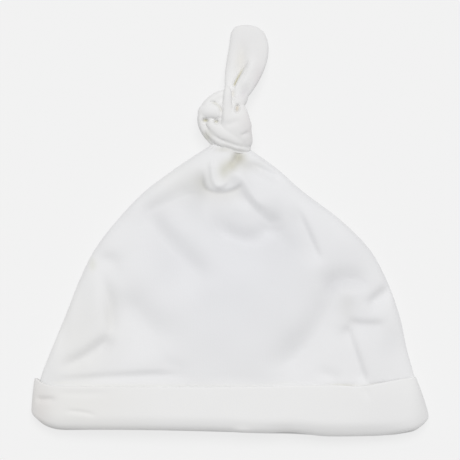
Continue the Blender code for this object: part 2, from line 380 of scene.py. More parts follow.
def dress(obj: Piece, material: Material, slot: str, node: str | None) -> None:
    """Gives a finished piece its material and its place in the table of pieces.

    Args:
        obj: The piece.
        material: What it is made of.
        slot: The record's slot that the material belongs to. Not used.
        node: The CAD node that it stands for, or None for an added piece.
    """
    obj.data.materials.clear()
    obj.data.materials.append(material)
    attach(obj, BODY)
    if node:
        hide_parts(node)
    LOG.info("%s: %d faces", obj.name, len(obj.data.polygons))


# Finishes


class NodeSheet:
    """Adds and joins the nodes of one node tree.

    An input is fed with a plain value, with another node's output, or with another node,
    which stands for its first output.
    """

    def __init__(self, tree: Tree) -> None:
        """Starts on a tree of nodes.

        Args:
            tree: The tree that takes the nodes.
        """
        self.tree = tree

    def feed(self, node: Node, inputs: Inputs) -> None:
        """Sets or links inputs of a node.

        Args:
            node: The node.
            inputs: What goes into each input, by its name or number.
        """
        for key, source in inputs.items():
            if isinstance(source, Node):
                source = source.outputs[0]
            if isinstance(source, Socket):
                self.tree.links.new(source, node.inputs[key])
            else:
                node.inputs[key].default_value = source

    def add(self, kind: str, inputs: Inputs | None = None, **settings: object) -> Node:
        """A new node.

        Args:
            kind: Its type in Blender.
            inputs: What goes into its inputs.
            settings: Its other settings, which are made first.

        Returns:
            The node.
        """
        node = self.tree.nodes.new(kind)
        for name, value in settings.items():
            setattr(node, name, value)
        self.feed(node, inputs or {})
        return node

    def sum(self, operation: str, *values: object) -> Socket:
        """The output of a Math node.

        Args:
            operation: Its operation, such as ADD.
            values: Numbers or outputs of other nodes.

        Returns:
            The output socket.
        """
        node = self.add("ShaderNodeMath", dict(enumerate(values)), operation=operation)
        return node.outputs[0]

    def noise(self, place: Socket, scale: float, detail: float) -> Node:
        """Noise in space, 0 to 1.

        Args:
            place: Coordinates in metres.
            scale: Features in a metre.
            detail: How many finer layers are added.

        Returns:
            The node, whose first output is the noise.
        """
        inputs = {"Vector": place, "Scale": scale, "Detail": detail}
        return self.add("ShaderNodeTexNoise", inputs)


def new_material(name: str) -> tuple[Material, NodeSheet, Node]:
    """Starts a material that has one shader.

    Args:
        name: Name of the material.

    Returns:
        The material, the sheet that adds nodes to it, and its shader's node.
    """
    material = bpy.data.materials.new(name)
    material.use_nodes = True
    shader = material.node_tree.nodes["Principled BSDF"]
    return material, NodeSheet(material.node_tree), shader


@dataclass(frozen=True)
class JerseyFinish:
    """White single jersey: columns of small V-shaped loops, with a faint bloom.

    Wale is the width of a column of loops and course the height of a loop, in
    millimetres. Dip is how far a loop sinks at its foot, as a share. Knit and fibre are
    depths of the relief in millimetres. Patches and fibres are counted in a metre.
    """

    name: str
    light: Colour = (0.815, 0.815, 0.815)
    dark: Colour = (0.80, 0.80, 0.797)
    wale: float = 0.62
    course: float = 0.5
    dip: float = 0.3
    knit: float = 0.006
    fibre: float = 0.03
    patches: float = 75.0
    fibres: float = 1800.0
    detail: float = 4.0
    roughness: float = 0.95
    specular: float = 0.2
    sheen: float = 0.25
    sheen_roughness: float = 0.5

    def knit_height(self, sheet: NodeSheet, place: Socket) -> Socket:
        """Height of the loops of the knit, 0 to 1.

        Args:
            sheet: Where the nodes go.
            place: Coordinates in metres.

        Returns:
            The output socket.
        """
        parts = sheet.add("ShaderNodeSeparateXYZ", {"Vector": place})
        column = sheet.sum("DIVIDE", parts.outputs["X"], self.wale * MM)
        row = sheet.sum("DIVIDE", parts.outputs["Y"], self.course * MM)
        across = sheet.sum("FRACT", column)
        from_middle = sheet.sum("ABSOLUTE", sheet.sum("SUBTRACT", across, 0.5))
        turn = sheet.sum("MULTIPLY", sheet.sum("ADD", row, from_middle), 2 * math.pi)
        loop = sheet.sum("MULTIPLY_ADD", sheet.sum("SINE", turn), self.dip, 1 - self.dip)
        ridge = sheet.sum("SINE", sheet.sum("MULTIPLY", across, math.pi))
        return sheet.sum("MULTIPLY", loop, ridge)

    def material(self) -> Material:
        """Builds the cloth's material.

        Returns:
            The material, which also multiplies in the painted shade, light and colour stored on the
            cloth.
        """
        material, sheet, shader = new_material(self.name)
        place = sheet.add("ShaderNodeTexCoord").outputs["Object"]
        patches = sheet.noise(place, self.patches, self.detail)
        shades = {"Factor": patches, "A": (*self.dark, 1.0), "B": (*self.light, 1.0)}
        cloth = sheet.add("ShaderNodeMix", shades, data_type="RGBA")
        # painted shade, painted light and the cloth's own colour, stored at each point
        painted = sheet.add("ShaderNodeAttribute", attribute_name=SHADING_AND_TONE)
        both = {"Factor": 1.0, "A": cloth.outputs["Result"], "B": painted.outputs["Color"]}
        colour_with_shading = sheet.add("ShaderNodeMix", both, data_type="RGBA", blend_type="MULTIPLY")
        knit = sheet.sum("MULTIPLY", self.knit_height(sheet, place), self.knit)
        fibres = sheet.noise(place, self.fibres, self.detail)
        height = sheet.sum("ADD", knit, sheet.sum("MULTIPLY", fibres, self.fibre))
        bump = {"Strength": 1.0, "Distance": MM, "Height": height}
        looks = {
            "Base Color": colour_with_shading.outputs["Result"],
            "Normal": sheet.add("ShaderNodeBump", bump),
            "Roughness": self.roughness,
            "Specular IOR Level": self.specular,
            "Sheen Weight": self.sheen,
            "Sheen Roughness": self.sheen_roughness,
        }
        sheet.feed(shader, looks)
        return material


@dataclass(frozen=True)
class ThreadFinish:
    """Smooth white sewing thread, with its twist in millimetres and fibres in a metre."""

    name: str = "sewing_thread"
    colour: Colour = (0.84, 0.84, 0.84)
    roughness: float = 0.55
    twist: float = 0.03
    strength: float = 0.4
    fibres: float = 9000.0

    def material(self) -> Material:
        """Builds the thread's material.

        Returns:
            The material.
        """
        material, sheet, shader = new_material(self.name)
        place = sheet.add("ShaderNodeTexCoord").outputs["Object"]
        height = sheet.noise(place, self.fibres, 1.0)
        bump = {"Strength": self.strength, "Distance": self.twist * MM, "Height": height}
        looks = {
            "Base Color": (*self.colour, 1.0),
            "Normal": sheet.add("ShaderNodeBump", bump),
            "Roughness": self.roughness,
        }
        sheet.feed(shader, looks)
        return material


@dataclass(frozen=True)
class FloorFinish:
    """The pale top of a light table, which softens the shadows on it from below."""

    name: str = "pale_floor"
    colour: Colour = (0.17, 0.17, 0.17)
    glow: float = 0.7155

    def material(self) -> Material:
        """Builds the floor's material.

        Returns:
            The material.
        """
        material, sheet, shader = new_material(self.name)
        looks = {
            "Base Color": (*self.colour, 1.0),
            "Roughness": 1.0,
            "Specular IOR Level": 0.0,
            "Emission Color": WHITE,
            "Emission Strength": self.glow,
        }
        sheet.feed(shader, looks)
        return material


# The crown


STATIONS = np.array([
    # y, left, right, top, side, bottom
    (-90.0, -84.2, 83.6, 12.4, 5.6, 2.0),
    (-80.0, -84.3, 83.2, 13.2, 5.7, 2.0),
    (-66.0, -83.2, 80.8, 15.0, 5.6, 2.0),
    (-52.0, -78.1, 77.0, 16.6, 5.2, 0.0),
    (-38.0, -72.3, 74.0, 17.8, 5.2, 0.0),
    (-22.0, -66.0, 68.3, 18.8, 5.2, 0.0),
    (-8.0, -59.0, 60.5, 19.0, 5.4, 0.0),
    (5.0, -49.0, 47.5, 18.8, 5.6, 0.0),
    (17.0, -37.4, 31.6, 18.2, 6.2, 0.0),
    (26.5, -24.8, 20.8, 17.0, 7.0, 0.0),
    (31.5, -17.4, 14.0, 15.6, 7.8, 0.6),
    (35.5, -11.2, 8.4, 14.3, 8.4, 2.2),
    (38.5, -7.2, 5.8, 13.4, 8.6, 3.6),
    (42.0, -5.4, 4.8, 12.8, 8.6, 4.4),
])


@dataclass(frozen=True)
class CrownForm:
    """The crown's smooth outside, before any fold."""

    dome_power: float = 0.8
    back_curl: float = math.radians(30)
    probe: float = 0.004

    def section(self, y: Array, turn: Array) -> tuple[Array, Array]:
        """Places on the outside, in X and Z.

        Args:
            y: How far up the hat each place is.
            turn: 0 to 1 over the front from left to right, and 1 to 2 back under.

        Returns:
            X and Z in millimetres.
        """
        rows = rows_at(STATIONS, y)
        left, right, top, side, bottom = (rows[..., i] for i in range(1, 6))
        angle = np.pi * turn
        x = (left + right) / 2 - (right - left) / 2 * np.cos(angle)
        lift = np.clip(np.sin(angle), 0, None) ** self.dome_power
        drop = np.clip(-np.sin(angle) / math.sin(self.back_curl), 0, 1)
        front = side + (top - side) * lift
        back = bottom + (side - bottom) * (1 - drop) ** 2
        return x, np.where(turn % 2 <= 1, front, back)

    def outward(self, y: Array, turn: Array) -> tuple[Array, Array]:
        """The outside's direction at each place.

        Args:
            y: How far up the hat each place is.
            turn: 0 to 1 over the front from left to right, and 1 to 2 back under.

        Returns:
            X and Z of the directions, with a length of 1.
        """
        x0, z0 = self.section(y, (turn - self.probe) % 2)
        x1, z1 = self.section(y, (turn + self.probe) % 2)
        length = np.hypot(x1 - x0, z1 - z0)
        return -(z1 - z0) / length, (x1 - x0) / length


FRONT_FOLDS = (
    # name, rise, left and right half width, path
    Crease(
        "hollow under the knot", -2.4, 3.0, 2.6,
        ((4, 37.2), (3.7, 34.2), (3.2, 31.2), (1.2, 28.6), (-1.4, 25.8), (-3.9, 22.2)),
        fades=(0.3, 0.8), taper=0.5,
    ),
    Crease(
        "lip", 1.1, 2.0, 1.2,
        ((-8.6, 31), (-8.2, 28), (-7.8, 24.5), (-7, 20.4), (-5, 18.6), (-3, 20), (-1, 22.6),
         (0.6, 24.6)), fades=(0.15, 0.35),
    ),
    Crease(
        "right half of the lip", 1.3, 2.2, 3.2,
        ((-2, 21.6), (0.2, 24), (2.4, 25), (4.4, 24), (6, 21.4), (7.6, 18.4), (10.4, 13.4),
         (14.4, 8.6)), fades=(0.25, 0.2),
    ),
    # its colour factors are painted shade under the lip
    Crease(
        "shadow under the lip", -1.35, 1.2, 13,
        ((-12.6, 27), (-12.6, 22.5), (-11.8, 18.9), (-9.6, 16.8), (-6.3, 16), (-3, 16), (0.4, 16.7),
         (3.2, 17.9), (4.8, 19.6), (5.5, 21.6)), fades=(0.2, 0.15), tone=(0.945, 0.94, 0.92),
    ),
    Crease(
        "shadow right of the lip", -2.4, 3.4, 9,
        ((3.4, 19.2), (5.4, 14.5), (8.4, 10.3), (11.8, 6.9), (15.4, 4.1), (19.8, 3.3), (23.8, 5.3)),
        fades=(0.3, 0.25), taper=1.5,
    ),
    Crease(
        "slope below the right of the lip", -1.0, 5.5, 4,
        ((-1, 17.5), (2, 16.8), (5, 16.6)), fades=(0.4, 0.4),
    ),
    Crease("blotch right of the lip", -3.0, 6, 7, ((12, 1.5), (17, -0.5), (23, -1))),
    Crease("slack right of the lip", -1.7, 6, 7, ((19, 3), (25, -5), (30, -13))),
    Crease(
        "bow below the lip", -4.0, 6.5, 9,
        ((-9, 6), (-5.5, 0.5), (0, -3.6), (7, -5.8), (14, -5.2), (20, -2)),
    ),
    Crease("pillow above the bow", 0.8, 3.6, 3.6, ((0, 11), (5.5, 9), (9, 5.5))),
    Crease("right shoulder", -2.2, 2, 2.6, ((6, 29.6), (14, 26), (24, 21))),
    Crease(
        "left shoulder", -4.2, 3.2, 8,
        ((-41, 6), (-31, 9.4), (-21, 15), (-12.6, 16.2)), fades=(0.5, 0.12), taper=2.3,
    ),
    Crease(
        "long drag line on the left", -3.5, 7.0, 15,
        ((-41, 9.5), (-35, 3), (-29, -5), (-22.5, -11.5), (-15, -18.5), (-7, -26)),
        fades=(0.12, 0.35),
    ),
    Crease("ridge of the long drag line", 0.6, 5, 4, ((-33, 12), (-24, 2), (-16, -5))),
    Crease(
        "short drag line on the left", -3.1, 8.5, 9,
        ((-48, -24.6), (-42.3, -32.3), (-36.2, -40.9), (-28.6, -50)), fades=(0.4, 0.3),
    ),
    Crease("puff on the left", 0.6, 5, 5, ((-57, -14), (-57, -24), (-58.5, -34), (-62, -43))),
    Crease(
        "edge of the puff", -1.7, 3.4, 3.0,
        ((-58.5, -13), (-55.5, -20), (-53.4, -29), (-51.6, -38), (-50.6, -47)), fades=(0.5, 0.15),
    ),
    Crease(
        "foot of the puff", -2.6, 3.4, 4,
        ((-76, -60.8), (-66, -56.9), (-58, -52), (-53, -47.8), (-50.4, -44.8)), fades=(0.3, 0.2),
    ),
    Crease("dent above the puff", -1.8, 4, 6.5, ((-58.5, -12.5), (-53.5, -13), (-47, -15))),
    Crease(
        "crease along the cuff on the left", -1.0, 1.5, 2.6,
        ((-78, -65), (-61, -64.1), (-43.7, -63), (-28.5, -62.5), (-15, -63.2)), fades=(0.15, 0.3),
    ),
    Crease(
        "end of the crease along the cuff", -0.45, 3.2, 4, ((-31, -56), (-24, -59), (-17, -61.6)),
    ),
    Crease("slack along the cuff", -0.2, 3.4, 2.6, ((-14, -64), (8, -64.8), (30, -64.2))),
    Crease("slack along the cuff on the right", -0.8, 3, 3, ((37, -61), (44, -63.5), (50, -65.5))),
    # its colour factors are painted shade in the groove
    Crease(
        "groove at the cuff on the right", -0.85, 1.0, 0.8,
        ((33, -66.9), (48, -67.4), (57.5, -68), (65, -67.2), (73.7, -66.2), (80, -64.8)),
        fades=(0.3, 0.05), tone=(0.955, 0.945, 0.88),
    ),
    # its colour factors are painted shade in the groove
    Crease(
        "groove at the cuff on the left", -0.2, 0.9, 0.8,
        ((-82, -66.2), (-60, -66.9), (-30, -67), (10, -66.9), (36, -66.3)),
        fades=(0.05, 0.1), tone=(0.98, 0.98, 0.95),
    ),
    Crease(
        "long crease on the right", -1.8, 2.2, 5,
        ((26.6, 13), (28.8, 8), (31.4, 2.6), (34.3, -4), (37.4, -10.8), (39.2, -15)),
        fades=(0.35, 0.2),
    ),
    Crease(
        "lower end of the long crease", -1.7, 2.0, 5.5,
        ((50, -41), (52.6, -49.5), (56.4, -60.5), (58.6, -67)), fades=(0.12, 0.1),
    ),
    Crease(
        "broad drag line on the right", -3.6, 8.2, 12,
        ((17, -62), (25.9, -57.4), (33, -50.9), (38.8, -43), (42.6, -35), (45.8, -28), (47.5, -23)),
        fades=(0.2, 0.15),
    ),
    Crease(
        "upper wrinkle on the right", -2.6, 5, 6,
        ((40, -24), (46, -21.5), (52, -20.5), (57, -21.5), (60.5, -26)), fades=(0.15, 0.3),
    ),
    Crease("middle wrinkle on the right", -2.2, 2.6, 4, ((59, -33), (65, -28.6), (71, -23.8))),
    Crease(
        "lower wrinkle on the right", -1.75, 2.3, 8,
        ((49.5, -39.6), (54, -40.8), (60, -41.4), (69, -41)),
    ),
    Crease("puff between the wrinkles", 1, 3.5, 3.5, ((50, -26), (54, -29))),
)
FRONT_RELIEF = Relief(FRONT_FOLDS, wave_height=0.18, wave_length=19.0, seed=11)

# Soft spots on the crown. Most are painted shade in folds, hollows and slopes turned from the
# light; 'warm left puff' and 'warm left shoulder' warm the cloth's own colour, and 'cool middle'
# makes the middle a little darker and cooler.
CROWN_SHADING_AND_TONE = (
    ShadingAndToneSpot("cool middle", 2, -16, 46, 44, (0.972, 0.976, 0.994)),
    ShadingAndToneSpot("warm left puff", -66, -45, 16, 24, (1.0, 0.998, 0.982)),
    # painted light along the crown's left edge
    ShadingAndToneSpot("left seam high up", -60.5, -13, 2.4, 8, (1.03, 1.03, 1.03)),
    ShadingAndToneSpot("left seam in the middle", -68, -30, 2.6, 9, (1.035, 1.035, 1.035)),
    ShadingAndToneSpot("left seam low down", -74.5, -46, 2.6, 9, (1.035, 1.035, 1.035)),
    ShadingAndToneSpot("edge below the shoulder", -60, -14.8, 1.7, 2.8, (0.93, 0.93, 0.885)),
    ShadingAndToneSpot("edge of the puff", -52.2, -36.6, 2.8, 9, (0.95, 0.948, 0.939)),
    ShadingAndToneSpot("shade on the right", 60, -34, 12, 26, (0.975, 0.975, 0.98)),
    ShadingAndToneSpot("low on the right", 69, -50, 6, 6, (0.972, 0.972, 0.975)),
    # painted shade between the wrinkles
    ShadingAndToneSpot("warm spot between the wrinkles", 50.6, -34, 3.6, 8, (0.96, 0.958, 0.95)),
    # painted light low on the left
    ShadingAndToneSpot("bright patch low on the left", -38, -55, 16, 5.5, (1.022, 1.022, 1.022)),
    ShadingAndToneSpot("below the foot of the puff", -67.6, -60, 9, 5, (0.968, 0.967, 0.962)),
    ShadingAndToneSpot("beside the drag lines on the right", 50, -22.8, 9, 3, (0.93, 0.93, 0.935)),
    ShadingAndToneSpot("beside the puff on the right", 44.6, -25.2, 3, 3, (0.94, 0.94, 0.945)),
    ShadingAndToneSpot("warm left shoulder", -20, 22, 16, 10, (1.0, 1.0, 0.985)),
    ShadingAndToneSpot("deep hollow under the knot", 3.4, 31.6, 2.8, 3.0, (0.7, 0.685, 0.6)),
    ShadingAndToneSpot("hollow below it", 0.4, 28.2, 2.6, 2.6, (0.83, 0.82, 0.735)),
    ShadingAndToneSpot("left side of the hollow", -2.8, 25.8, 2.5, 3.6, (0.83, 0.825, 0.76)),
    ShadingAndToneSpot("shade under the knot", -2.8, 35.2, 3.8, 1.3, (0.87, 0.865, 0.83)),
    ShadingAndToneSpot("right side of the hollow", 6.2, 29.6, 1.8, 3.6, (0.94, 0.938, 0.92)),
    ShadingAndToneSpot("right of the hollow", 9.4, 28.2, 5.6, 2.6, (0.93, 0.93, 0.915)),
    ShadingAndToneSpot("below the left shoulder", -27.2, 7.6, 10, 8, (0.957, 0.957, 0.959)),
    ShadingAndToneSpot("above the cuff on the left", -66, -65, 11, 3.6, (0.982, 0.982, 0.978)),
    # painted light on the strip just above the cuff
    ShadingAndToneSpot("strip above the cuff", -14, -65.8, 50, 1.5, (1.024, 1.024, 1.02)),
    ShadingAndToneSpot("below the bow", 13, -8.6, 20, 8.6, (0.957, 0.957, 0.959)),
    ShadingAndToneSpot("beside the arch", 50, -9, 10, 8, (0.975, 0.975, 0.977)),
    ShadingAndToneSpot("beside the lip", -12.2, 20, 3.6, 5.4, (0.85, 0.85, 0.838)),
    ShadingAndToneSpot("inner end of the left shoulder", -17.5, 18.8, 5, 3, (0.955, 0.955, 0.955)),
    ShadingAndToneSpot("beside the drag line", -28.5, -10.6, 11, 12, (0.968, 0.968, 0.972)),
    ShadingAndToneSpot("right of the middle", 26, -5, 8, 12, (0.952, 0.952, 0.955)),
    ShadingAndToneSpot("right of the lip", 19.4, 11, 4, 4, (0.965, 0.965, 0.965)),
)


@dataclass
class Crown:
    """The crown: a front panel with all the folds, and a back panel on the table."""

    form: CrownForm
    finish: JerseyFinish
    wall: float = 1.1
    seam_y: float = -69.5
    neck_y: float = 42.0
    crowding: float = 1.5
    columns: int = 240
    front_rows: int = 150
    back_rows: int = 60
    turned_cells: int = 4
    turned_in: float = 3.5
    turned_limit: float = 0.35
    seam_edge: float = 0.5
    seam_gap: float = 0.05
    flat_edge: float = 0.16
    gathers: int = 11
    gather_rise: float = 0.22
    gather_reach: float = 11.0
    cuff_fade: float = 3.0

    def grid(self, rows: int) -> tuple[Array, Array]:
        """Height and place across of each point of a panel.

        Args:
            rows: How many rows of cells the panel has.

        Returns:
            Y in millimetres, and the share across, under 0 or over 1 on turned-in edges.
        """
        along = np.linspace(0, 1, rows + 1)
        climb = 1 - (1 - along) ** self.crowding
        y = self.seam_y + (self.neck_y - self.seam_y) * climb
        inner = np.linspace(0, 1, self.columns + 1)
        outer = np.arange(1, self.turned_cells + 1) / self.turned_cells
        across = np.concatenate([-outer[::-1], inner, 1 + outer])
        return np.meshgrid(y, across, indexing="ij")

    def panel(self, name: str, rows: int, front: bool) -> Piece:
        """One panel, with its seam allowances turned in.

        Args:
            name: Name of the panel.
            rows: How many rows of cells it has.
            front: Whether it is the front.

        Returns:
            The panel as a wall of cloth.
        """
        y, across = self.grid(rows)
        stations = rows_at(STATIONS, y)
        left, right, side = stations[..., 1], stations[..., 2], stations[..., 4]
        share = np.clip(across, 0, 1)
        over = np.sin(np.pi * share)
        sign = 1 if front else -1
        lift = (self.seam_gap / 2 + self.seam_edge) * (1 - over) ** 4
        x, z = self.form.section(y, share if front else 2 - share)
        z = z + sign * lift
        if front:
            inside = eased(over / (2 * self.flat_edge))
            above_cuff = eased((y - self.seam_y) / self.cuff_fade)
            z = z + self.folds(x, y, share) * inside * above_cuff
        else:
            z = np.maximum(z, 0.0)
        reach = np.minimum(self.turned_in, self.turned_limit * (right - left) / 2)
        past = np.maximum(-across, across - 1)
        inward = reach * past
        turned = past > 0
        x = np.where(turned, np.where(across < 0, left + inward, right - inward), x)
        rounding = self.seam_edge * np.clip(1 - inward / self.seam_edge, 0, 1)
        z = np.where(turned, side + sign * (self.seam_gap / 2 + rounding), z)
        faces = grid_faces(*y.shape, around=False)
        if not front:
            faces = faces[:, ::-1]
        obj = mesh_object(name, np.stack([x, y, z], axis=-1).reshape(-1, 3), faces)
        thicken(obj, self.wall)
        return settle(obj)

    def folds(self, x: Array, y: Array, share: Array) -> Array:
        """Height of all the folds, and of the small pleats below the knot.

        Args:
            x: Places across, in millimetres.
            y: Places along, in millimetres.
            share: Places across, as shares of the width.

        Returns:
            Heights in millimetres.
        """
        near_neck = eased(1 - (self.neck_y - y) / self.gather_reach)
        pleats = np.cos(2 * np.pi * self.gathers * share)
        return FRONT_RELIEF.height(x, y) + self.gather_rise * near_neck * pleats

    def build(self) -> None:
        """Builds and dresses both panels."""
        material = self.finish.material()
        front = self.panel("crown_front", self.front_rows, front=True)
        back = self.panel("crown_back", self.back_rows, front=False)
        # stores painted shade and light, and the cloth's own colour, on both panels
        paint(front, CROWN_SHADING_AND_TONE, FRONT_RELIEF)
        paint(back, CROWN_SHADING_AND_TONE, Relief(()))
        dress(front, material, "crown_jersey", "front_panel")
        dress(back, material, "crown_jersey", "back_panel")


# The cuff


CUFF_EDGES = np.array([
    # y, left, right
    (-90.0, -85.6, 85.6),
    (-84.0, -86.3, 86.1),
    (-79.0, -86.3, 85.6),
    (-72.0, -86.1, 83.7),
    (-66.0, -85.7, 81.7),
    (-63.0, -85.2, 80.6),
])

CUFF_RIM = np.array([
    # share across, front rim, back rim, top edge
    (-1.0, -86.3, -87.4, -64.2),
    (-0.96, -86.3, -87.5, -66.4),
    (-0.9, -86.4, -87.5, -67.4),
    (-0.7, -86.7, -87.4, -67.6),
    (-0.4, -86.8, -87.6, -67.7),
    (0.0, -87.4, -88.4, -67.7),
    (0.1, -88.0, -88.8, -67.6),
    (0.2, -88.1, -89.0, -67.5),
    (0.3, -87.7, -89.1, -67.2),
    (0.38, -88.4, -89.4, -67.0),
    (0.46, -89.5, -89.8, -66.9),
    (0.55, -89.8, -89.9, -66.9),
    (0.7, -89.7, -90.0, -67.5),
    (0.78, -89.5, -89.9, -66.5),
    (0.86, -88.7, -89.5, -65.3),
    (0.93, -87.5, -88.5, -64.4),
    (1.0, -86.3, -87.2, -63.6),
])

CUFF_FOLDS = (
    # name, rise, left and right half width, path
    Crease(
        "dent at the left end", -1.0, 1.2, 1.4,
        ((-84.5, -73.4), (-80.5, -73.6), (-75.5, -73.2)), fades=(0.1, 0.3),
    ),
    Crease("line low on the left", -0.55, 0.8, 0.8, ((-72, -78.2), (-64, -78.9), (-57.5, -80.4))),
    Crease("soft wave on the left", -0.3, 1.2, 1.4, ((-76, -70.6), (-66, -70.8), (-52, -70.4))),
    Crease("lip of the crumpled rim", 1.0, 1.2, 1.2, ((1, -87.4), (5.5, -86.9), (9, -87.6))),
    Crease(
        "roll of the rim on the right", -1.2, 4.0, 2.0,
        ((24, -89), (45, -89), (65, -88.8), (80, -86.5)),
    ),
    Crease(
        "end of the long crease", -0.5, 1.6, 1.0,
        ((57.5, -67.5), (58.6, -70.5), (60, -74)), fades=(0.05, 0.5),
    ),
)
CUFF_RELIEF = Relief(CUFF_FOLDS, wave_height=0.1, wave_length=24.0, seed=4)

# Soft spots on the cuff: painted shade where its ends turn down and along the rim under the front
# edge; 'warm left end' makes the left end a little warmer and darker.
CUFF_SHADING_AND_TONE = (
    ShadingAndToneSpot("warm left end", -66, -76, 26, 14, (0.972, 0.967, 0.953)),
    ShadingAndToneSpot("left fold", -83, -75.5, 5.6, 11.4, (0.904, 0.889, 0.881)),
    ShadingAndToneSpot("right fold", 83.4, -75, 3.4, 13, (0.94, 0.94, 0.94)),
    ShadingAndToneSpot("right end", 74, -78, 24, 12, (0.967, 0.967, 0.97)),
    ShadingAndToneSpot("edge of the back rim on the left", -42, -87.3, 44, 0.6, (0.94, 0.937, 0.93)),
    ShadingAndToneSpot("edge of the back rim on the right", 34, -90, 44, 0.8, (0.94, 0.94, 0.937)),
    ShadingAndToneSpot("right corner of the rim", 76, -88.8, 10, 1.8, (0.92, 0.92, 0.918)),
    ShadingAndToneSpot("shaded roll of the rim", 22, -84.6, 7, 1.2, (0.95, 0.95, 0.952)),
)


class BandPart(Enum):
    """The stretches of the cuff's profile, from its seam out to its free edge."""

    INSIDE = "up the inside"
    RIM = "round the rim"
    OUTSIDE = "up the outside"


@dataclass
class Cuff:
    """The turned-up band round the head opening."""

    form: CrownForm
    finish: JerseyFinish
    wall: float = 1.1
    seam_y: float = -69.9
    corner_width: float = 0.06
    left_corner_width: float = 0.14
    corner_rise: float = 4.6
    left_corner_rise: float = 6.8
    corner_limit: float = 0.999
    front_pace: float = 4.0
    droop: float = 3.2
    droop_reach: float = 7.0
    out: float = 1.9
    out_at_top: float = 1.2
    puff: float = 1.2
    around: int = 260
    leg_rows: int = 22
    fold_rows: int = 7
    inner_rows: int = 7

    def profile(self) -> list[tuple[BandPart, float]]:
        """The band's rows.

        Returns:
            The part of the profile that each row is on, and how far along it.
        """
        counts = {
            BandPart.INSIDE: self.inner_rows,
            BandPart.RIM: self.fold_rows,
            BandPart.OUTSIDE: self.leg_rows,
        }
        rows = [(part, i / count) for part, count in counts.items() for i in range(count)]
        return rows + [(BandPart.OUTSIDE, 1.0)]

    def skin(self) -> Array:
        """The band's outer skin.

        Returns:
            Its points in millimetres, by row of the profile and turn.
        """
        turn = np.arange(self.around) * 2 / self.around
        share = -np.cos(np.pi * turn)
        over = np.sin(np.pi * turn)
        on_left = share < 0
        front_share = eased((1 + self.front_pace * over) / 2)
        edge = rows_at(CUFF_RIM, share)
        width = np.where(on_left, self.left_corner_width, self.corner_width)
        corner = np.clip((np.abs(share) - 1 + width) / width, 0, 1)
        rim = edge[:, 2] + (edge[:, 1] - edge[:, 2]) * front_share
        rise = np.where(on_left, self.left_corner_rise, self.corner_rise)
        rim = rim + rise * (1 - np.sqrt(1 - self.corner_limit * corner**2))
        top = edge[:, 3]
        puff = self.puff * front_share
        radius = (self.wall + self.out + puff) / 2
        rows = []
        for part, step in self.profile():
            closing = 0.0
            if part is BandPart.INSIDE:
                y = self.seam_y + (rim + radius - self.seam_y) * step
                out = np.full_like(turn, -self.wall)
            elif part is BandPart.RIM:
                angle = math.pi * step
                y = rim + radius - radius * math.sin(angle)
                out = radius - self.wall - radius * math.cos(angle)
            else:
                y = rim + radius + (top - rim - radius) * step
                closing = (self.out - self.out_at_top) * step**2
                out = self.out + puff * (1 - step) - closing
            x, z = self.form.section(y, turn)
            nx, nz = self.form.outward(y, turn)
            x = x + nx * out
            z = z + nz * out
            edges = rows_at(CUFF_EDGES, y)
            ends = self.form.section(y, np.where(on_left, 0.0, 1.0))[0]
            wanted = np.where(on_left, edges[:, 1], edges[:, 2])
            x = x + (wanted - ends - np.sign(share) * (self.out - closing)) * share**2
            near_rim = np.clip((rim + self.droop_reach - y) / self.droop_reach, 0, 1)
            z = z - self.droop * near_rim**2 * front_share * np.abs(over) ** 0.5
            if part is not BandPart.INSIDE:
                z = z + CUFF_RELIEF.height(x, y) * eased(nz)
            rows.append(np.stack([x, y, np.maximum(z, 0.0)], axis=-1))
        return np.array(rows)

    def build(self) -> None:
        """Builds and dresses the cuff."""
        skin = self.skin()
        faces = grid_faces(*skin.shape[:2], around=True)
        obj = mesh_object("cuff_band", skin.reshape(-1, 3), faces)
        thicken(obj, self.wall)
        soft = obj.modifiers.new("soft", "SUBSURF")
        soft.levels = soft.render_levels = 1
        settle(obj)
        # stores painted shade and the cuff's own colour on the band
        paint(obj, CUFF_SHADING_AND_TONE, CUFF_RELIEF)
        dress(obj, self.finish.material(), "cuff_jersey", "cuff")


# The knot and the tail


@dataclass(frozen=True)
class Strand:
    """A soft rope of gathered cloth, swept through its beads.

    Each bead is a place on it in X, Y and Z, with its half width and half thickness.
    """

    name: str
    beads: tuple[tuple[float, ...], ...]
    pleats: int = 0
    pleat_depth: float = 0.0
    pleat_turn: float = 3.0
    flatness: float = 0.75
    tip: float = 0.8
    tip_limit: float = 0.02
    sides: int = 36
    steps: int = 8

    def rings(self) -> Array:
        """The strand's skin.

        Returns:
            Its points in millimetres, ring by ring, with rounded ends.
        """
        path = curve_through(self.beads, self.steps)
        centre = path[:, :3]
        tangent = np.gradient(centre, axis=0)
        tangent /= np.linalg.norm(tangent, axis=1, keepdims=True)
        across = np.cross(tangent, (0.0, 0.0, 1.0))
        across /= np.maximum(np.linalg.norm(across, axis=1, keepdims=True), 1e-6)
        upward = np.cross(across, tangent)
        last = len(path) - 1
        place = np.arange(len(path)) / last
        nearest_end = np.minimum(place, 1 - place) * last / (self.tip * self.steps)
        inside = np.clip(nearest_end, self.tip_limit, 1)
        ends = np.sqrt(np.clip(1 - (1 - inside) ** 2, 0, 1))
        angle = np.arange(self.sides) * 2 * np.pi / self.sides
        wave = self.pleats * angle[None, :] + self.pleat_turn * place[:, None]
        ripple = 1 + self.pleat_depth * np.cos(wave)
        over = np.sin(angle)
        top = np.sign(over) * np.abs(over) ** self.flatness
        wide = (path[:, 3] * ends)[:, None] * ripple * np.cos(angle)
        thick = (path[:, 4] * ends)[:, None] * ripple * top
        sideways = wide[..., None] * across[:, None, :]
        return centre[:, None, :] + sideways + thick[..., None] * upward[:, None, :]


